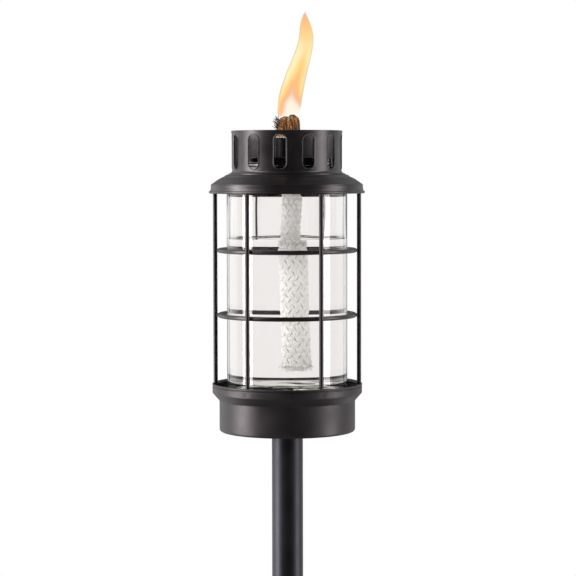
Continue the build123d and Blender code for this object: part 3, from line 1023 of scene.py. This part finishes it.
def charred_ends(rng):
    """Burnt ends curl out of the head, the longer half of them on the left."""
    # how far down they start, how long they are and how far they point outwards
    long_ends = ((2.5, 12.0), (3.4, 6.4), (0.8, 1.8))
    short_ends = ((1.6, 4.0), (1.2, 2.6), (-0.4, 0.6))
    parts = []
    for k in range(96):
        left = k % 2 == 0
        theta = rng.gauss(-1.35, 0.55) if left else rng.uniform(0, TAU)
        at = rng.uniform(7.6, 9.0)
        down, length, outward = (rng.uniform(*span) for span in (long_ends if left else short_ends))
        z = WICK_TOP - down
        if not left:
            z -= 2.0 * ((at * math.sin(theta) - 4.0) / 4.6) ** 2
        point = wick_point(z, theta, at)
        direction = Vector((math.sin(theta) * outward, -math.cos(theta) * outward, rng.uniform(0.2, 0.9)))
        direction.normalize()
        curl = Vector((0.22 * math.sin(k), 0.22 * math.cos(k), rng.uniform(0.05, 0.34)))
        points = [point]
        for _ in range(7):
            direction = (direction + curl).normalized()
            point = point + direction * (length / 7 * MM)
            points.append(point)
        parts.append(fibre(points, rng.uniform(0.26, 0.44) * MM, 0.55))
    return parts


def frayed_foot(rng):
    """Fine ends that hang out of the braid's foot."""
    parts = []
    for _ in range(150):
        theta = rng.uniform(0, TAU)
        at = rng.uniform(2.0, 8.4)
        point = wick_point(WICK_FOOT + rng.uniform(4, 9), theta, at)
        flare = rng.uniform(0.05, 0.55)
        direction = Vector((math.sin(theta) * flare, -math.cos(theta) * flare, -1)).normalized()
        points = [point]
        for _ in range(5):
            wander = Vector((rng.uniform(-0.2, 0.2), rng.uniform(-0.2, 0.2), 0))
            direction = (direction + wander).normalized()
            point = point + direction * rng.uniform(0.9, 1.5) * MM
            if point.z < height_of(WICK_FOOT - 2):
                break
            points.append(point)
        if len(points) > 2:
            parts.append(fibre(points, 0.36 * MM, 0.5))
    return parts


def make_wick():
    """Diamond-braided glass fibre rope, scorched at its head and frayed at its foot."""
    rng = random.Random(7)
    parts = braid(rng) + scorched_head(rng) + charred_ends(rng) + frayed_foot(rng)
    wick = new_object("wick_braid", *join_parts(parts), smooth_angle=70)
    place(wick, "wick", "wick_glass_fibre", wick_material(), "wick")


def wick_material():
    """White glass fibre, oil-stained higher up, scorched gold and brown where it burns, with painted shade:
    darker below the oil, and at the head's sides and in its crease.
    """
    s = Shader("glass_fibre_braid")
    x, _, height = s.axes()
    level = s.plus(height, s.range(s.noise(260, detail=3), 0, 1, -0.003, 0.003))
    yarn = s.noise(1500, detail=3, roughness=0.6)
    white = s.ramp(yarn, [(0.3, (0.78, 0.775, 0.75)), (0.6, (0.92, 0.92, 0.905))])
    # painted shade: the wick is a tenth darker below the oil's level
    darker_below_oil = s.range(height, height_of(OIL_LEVEL - 4), height_of(OIL_LEVEL + 4), 0.9, 1.0)
    white = s.mix(darker_below_oil, (0, 0, 0, 1), white)
    stained = s.range(level, height_of(205), height_of(236), 0, 0.55, smooth=True)
    white = s.mix(stained, white, (0.50, 0.43, 0.28, 1))
    gold = s.ramp(s.noise(620, detail=4, roughness=0.6, coords=s.stretched(0.22)), [
        (0.36, (0.010, 0.004, 0.001)),
        (0.46, (0.10, 0.034, 0.006)),
        (0.57, (0.29, 0.112, 0.017)),
        (0.74, (0.52, 0.265, 0.073)),
    ])
    # painted shade: the scorched head darkens towards its left and right sides and along a crease between its
    # lumps
    side_shade = s.range(s.away(x, 1.4 * MM), 6.6 * MM, 9.2 * MM, 0, 0.85, smooth=True)
    crease_shade = s.range(s.away(x, -0.6 * MM), 0.1 * MM, 1.4 * MM, 0.6, 0, smooth=True)
    gold = s.mix(s.math("MAXIMUM", side_shade, crease_shade), gold, (0.030, 0.012, 0.005, 1))
    ragged = s.plus(height, s.times(s.noise(900, detail=1), 0.002))
    charred = s.range(ragged, height_of(WICK_TOP - 1.2), height_of(WICK_TOP + 1.6), 0, 0.85, smooth=True)
    gold = s.mix(charred, gold, (0.018, 0.009, 0.006, 1))
    scorched = s.range(level, height_of(236.5), height_of(241.5), 0, 1, smooth=True)
    s.set(Base_Color=s.mix(scorched, white, gold), Roughness=0.85, Sheen_Weight=0.15, Sheen_Roughness=0.4)
    s.set(Normal=s.bump(yarn, 0.08 * MM, 0.7))
    return s.material


# ---- flame

# the flame's outline: height, middle and half width
FLAME = [
    (256.6, -0.2, 5.8), (258.9, 1.0, 9.0), (263, 1.8, 9.6), (268, 2.5, 9.8), (274, 3.5, 9.6), (283, 5.6, 9.2),
    (293, 8.4, 8.5), (302, 11.6, 7.6), (311.5, 14.4, 6.7), (320.6, 15.9, 6.0), (328.7, 15.5, 4.8),
    (334, 15.0, 3.2), (338, 14.8, 1.6), (341.2, 15.1, 0.3),
]
FLAME_LOW, FLAME_HIGH = FLAME[0][0], FLAME[-1][0]
FLAME_DEPTH = 0.85  # its depth for its width
MIDDLES = [(z, middle) for z, middle, _ in FLAME]
HALF_WIDTHS = [(z, half) for z, _, half in FLAME]


def smooth_course(course, z):
    """Catmull-Rom through (height, value) pairs."""
    last = len(course) - 1
    i = 0
    while i < last - 1 and z > course[i + 1][0]:
        i += 1
    (z0, v1), (z1, v2) = course[i:i + 2]
    v0, v3 = course[max(i - 1, 0)][1], course[min(i + 2, last)][1]
    t = min(1, max(0, (z - z0) / (z1 - z0)))
    return 0.5 * (
        2 * v1 + (v2 - v0) * t + (2 * v0 - 5 * v1 + 4 * v2 - v3) * t * t
        + (3 * v1 - v0 - 3 * v2 + v3) * t ** 3
    )


def make_flame():
    """A tongue of burning gas, blown to the right."""
    rows, around = 72, 48
    verts = []
    for i in range(rows + 1):
        z = FLAME_LOW + (FLAME_HIGH - FLAME_LOW) * i / rows
        middle, half = smooth_course(MIDDLES, z), max(0.2, smooth_course(HALF_WIDTHS, z))
        for k in range(around):
            theta = TAU * k / around
            ripple = Vector((math.sin(theta) * 1.3, math.cos(theta) * 1.3, z / 16))
            r = half * (1 + 0.035 * noise.noise(ripple))
            x = middle + r * math.sin(theta)
            verts.append((x * MM, -r * FLAME_DEPTH * math.cos(theta) * MM, height_of(z)))
    flame = new_object("flame_tongue", verts, tube_faces(rows + 1, around), smooth_angle=180)
    place(flame, "wick", "flame_gas", flame_material(), "flame")


def flame_material():
    """Glowing gas: it dims the light behind it and gives off its own colour."""
    s = Shader("burning_gas")
    x, y, z = s.axes()
    t = s.range(z, height_of(FLAME_LOW), height_of(FLAME_HIGH), 0, 1)

    def profile(values, top):
        """The outline as a curve over t; its values are given as parts of top."""
        points = [((h - FLAME_LOW) / (FLAME_HIGH - FLAME_LOW), v / top) for h, v in values]
        return s.times(s.curve(t, points), top * MM)

    half = profile(HALF_WIDTHS, 12)
    off = s.math("DIVIDE", s.math("SUBTRACT", x, profile(MIDDLES, 20)), half)
    deep = s.math("DIVIDE", y, s.times(half, FLAME_DEPTH))
    # layers of colour, nested about a middle that leans to the right
    lean = s.curve(t, [
        (0.0, 0.46), (0.08, 0.26), (0.17, 0.09), (0.28, 0.08), (0.42, 0.24), (0.6, 0.24), (1.0, 0.15),
    ])
    rise = s.curve(t, [
        (0.0, 0.15), (0.05, 0.20), (0.12, 0.29), (0.17, 0.41), (0.22, 0.51), (0.28, 0.59), (0.36, 0.68),
        (0.49, 0.81), (0.62, 0.94), (1.0, 1.0),
    ])
    across = s.node("ShaderNodeCombineXYZ", {"X": s.math("SUBTRACT", off, lean), "Y": s.times(deep, 0.2)})
    distance = s.length(across.outputs[0])
    spread = s.times(s.math("POWER", distance, 1.5), s.range(t, 0.0, 0.2, 0.5, 0.85))
    streaks = s.noise(190, detail=2, coords=s.stretched(0.2))
    layer = s.plus(spread, s.range(rise, 0, 1, -0.42, 0.9))
    layer = s.plus(layer, s.times(s.math("SUBTRACT", streaks, 0.5), 0.42))
    nested = s.ramp(s.range(layer, -0.2, 1.3, 0, 1), [
        (0.10, (1.0, 0.93, 0.76)), (0.20, (1.0, 0.86, 0.68)), (0.29, (0.96, 0.68, 0.50)),
        (0.36, (0.97, 0.51, 0.33)), (0.47, (0.99, 0.54, 0.205)), (0.60, (1.0, 0.67, 0.25)),
        (0.74, (1.0, 0.77, 0.33)), (0.90, (1.0, 0.87, 0.48)),
    ])
    tip = s.ramp(t, [
        (0.55, (1.0, 0.80, 0.42)), (0.70, (1.0, 0.74, 0.33)), (0.82, (0.99, 0.64, 0.25)),
        (0.92, (0.97, 0.53, 0.23)), (1.0, (0.88, 0.38, 0.28)),
    ])
    to_tip = s.range(s.plus(t, s.times(off, 0.05)), 0.52, 0.76, 0, 1, smooth=True)
    rim = s.range(s.math("ABSOLUTE", off), 0.80, 1.0, 0, 1, smooth=True)
    rim = s.times(rim, s.range(t, 0.05, 0.2, 0, 0.8))
    colour = s.mix(rim, s.mix(to_tip, nested, tip), (0.72, 0.50, 0.30, 1))
    above_foot = s.math("SUBTRACT", t, s.times(off, 0.035))
    thin_foot = s.range(above_foot, -0.05, 0.10, 0.05, 1, smooth=True)
    density = s.times(thin_foot, s.range(rim, 0, 1, 330.0, 700.0))
    density = s.times(density, s.range(t, 0.7, 1.0, 1.0, 3.2))
    absorb = s.node("ShaderNodeVolumeAbsorption", {"Color": (0, 0, 0, 1), "Density": density})
    glow = s.node("ShaderNodeEmission", {"Color": colour, "Strength": density})
    s.only(s.node("ShaderNodeAddShader", {0: absorb.outputs[0], 1: glow.outputs[0]}), "Volume")
    s.material.cycles.volume_step_rate = 0.06
    return s.material


# ---- welds


def blob(centre, size, turn, seed):
    """A lumpy weld bead: a squashed sphere, turned about Z."""
    verts, faces = [], []
    rows, around = 7, 12
    for i in range(1, rows):
        tilt = math.pi * i / rows
        ring = math.sin(tilt)
        for k in range(around):
            theta = TAU * k / around
            direction = Vector((ring * math.cos(theta), ring * math.sin(theta), math.cos(tilt)))
            lump = 1 + 0.16 * noise.noise(direction * 1.7 + Vector((seed * 3.3, seed, 0)))
            local = Vector((direction.x * size[0], direction.y * size[1], direction.z * size[2])) * lump * MM
            verts.append(centre + Vector((*turned(local.x, local.y, turn), local.z)))
    top, bottom = len(verts), len(verts) + 1
    verts.append(centre + Vector((0, 0, size[2] * MM)))
    verts.append(centre - Vector((0, 0, size[2] * MM)))
    last = (rows - 2) * around
    for k in range(around):
        j = (k + 1) % around
        faces.append((top, k, j))
        faces.append((bottom, last + j, last + k))
        for i in range(rows - 2):
            a, b = i * around, (i + 1) * around
            faces.append((a + k, b + k, b + j, a + j))
    return verts, faces


def make_cage_welds():
    """Beads where each rod meets the rings and the cup's lip."""
    parts = []
    rod_low, rod_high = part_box("cage_rod_1")
    rod_r = (rod_high.x - rod_low.x) / 2 / MM
    middle = (rod_low + rod_high) / 2
    circle = math.hypot(middle.x, middle.y) / MM
    rings = []
    for name in ("lower_cage_ring", "upper_cage_ring"):
        low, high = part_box(name)
        rings.append(above_head((low.z + high.z) / 2))
    lip_top = above_head(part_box("base_cup")[1].z)
    for number, theta in enumerate(rod_azimuths()):
        out = Vector((math.sin(theta), -math.cos(theta), 0))
        aside = Vector((math.cos(theta), math.sin(theta), 0))
        for height in rings:
            for side in (-1, 1):
                at = out * (circle - rod_r + 0.1) * MM + aside * side * 1.5 * MM
                at += Vector((0, 0, height_of(height)))
                parts.append(blob(at, (1.15, 0.75, 1.25), theta, number + side))
        for side in (-1, 1):
            at = out * (circle + rod_r - 0.15) * MM + aside * side * 1.3 * MM
            at += Vector((0, 0, height_of(lip_top - 2.6)))
            parts.append(blob(at, (0.95, 0.6, 2.3), theta, number * side))
    welds = new_object("cage_welds", *join_parts(parts), smooth_angle=80)
    place(welds, "lantern_base", "powder_coat", COAT)


def make_stake_welds():
    """A ring of beads round the stake's socket, and a row along each side of each blade."""
    low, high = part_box("stake_socket")
    ring_r = high.x + 0.4 * MM
    parts = []
    beads = 34
    for k in range(beads):
        theta = TAU * k / beads
        at = Vector((math.sin(theta) * ring_r, -math.cos(theta) * ring_r, low.z + 0.5 * MM))
        parts.append(blob(at, (1.7, 1.5, 1.4), theta, k))
    for k in range(4):
        theta = TAU * k / 4
        for step in range(8):
            along_blade = (2.5 + step * 1.7) * MM
            for side in (-1, 1):
                at = Vector((math.sin(theta), math.cos(theta), 0)) * along_blade
                at += Vector((math.cos(theta), -math.sin(theta), 0)) * side * 1.7 * MM
                parts.append(blob(at + Vector((0, 0, -0.4 * MM)), (1.2, 1.2, 1.1), theta, step + side))
    welds = new_object("stake_welds", *join_parts(parts), smooth_angle=80)
    place(welds, "ground_stake", "stake_coat", STAKE_COAT)


# ---- build

dress_cad_nodes()
make_cup()
make_hood()
make_guard()
make_jar()
make_oil()
make_band()
make_wick()
make_flame()
make_cage_welds()
make_stake_welds()

make_stage()
make_camera()
make_world()

scene = bpy.context.scene
scene.view_settings.view_transform = "Standard"
scene.view_settings.look = "None"
scene.cycles.max_bounces = 24
scene.cycles.transmission_bounces = 20
scene.cycles.transparent_max_bounces = 24
scene.cycles.glossy_bounces = 6
scene.cycles.diffuse_bounces = 5
scene.cycles.blur_glossy = 0.0
scene.cycles.caustics_refractive = True
scene.cycles.caustics_reflective = False
scene.cycles.use_denoising = True
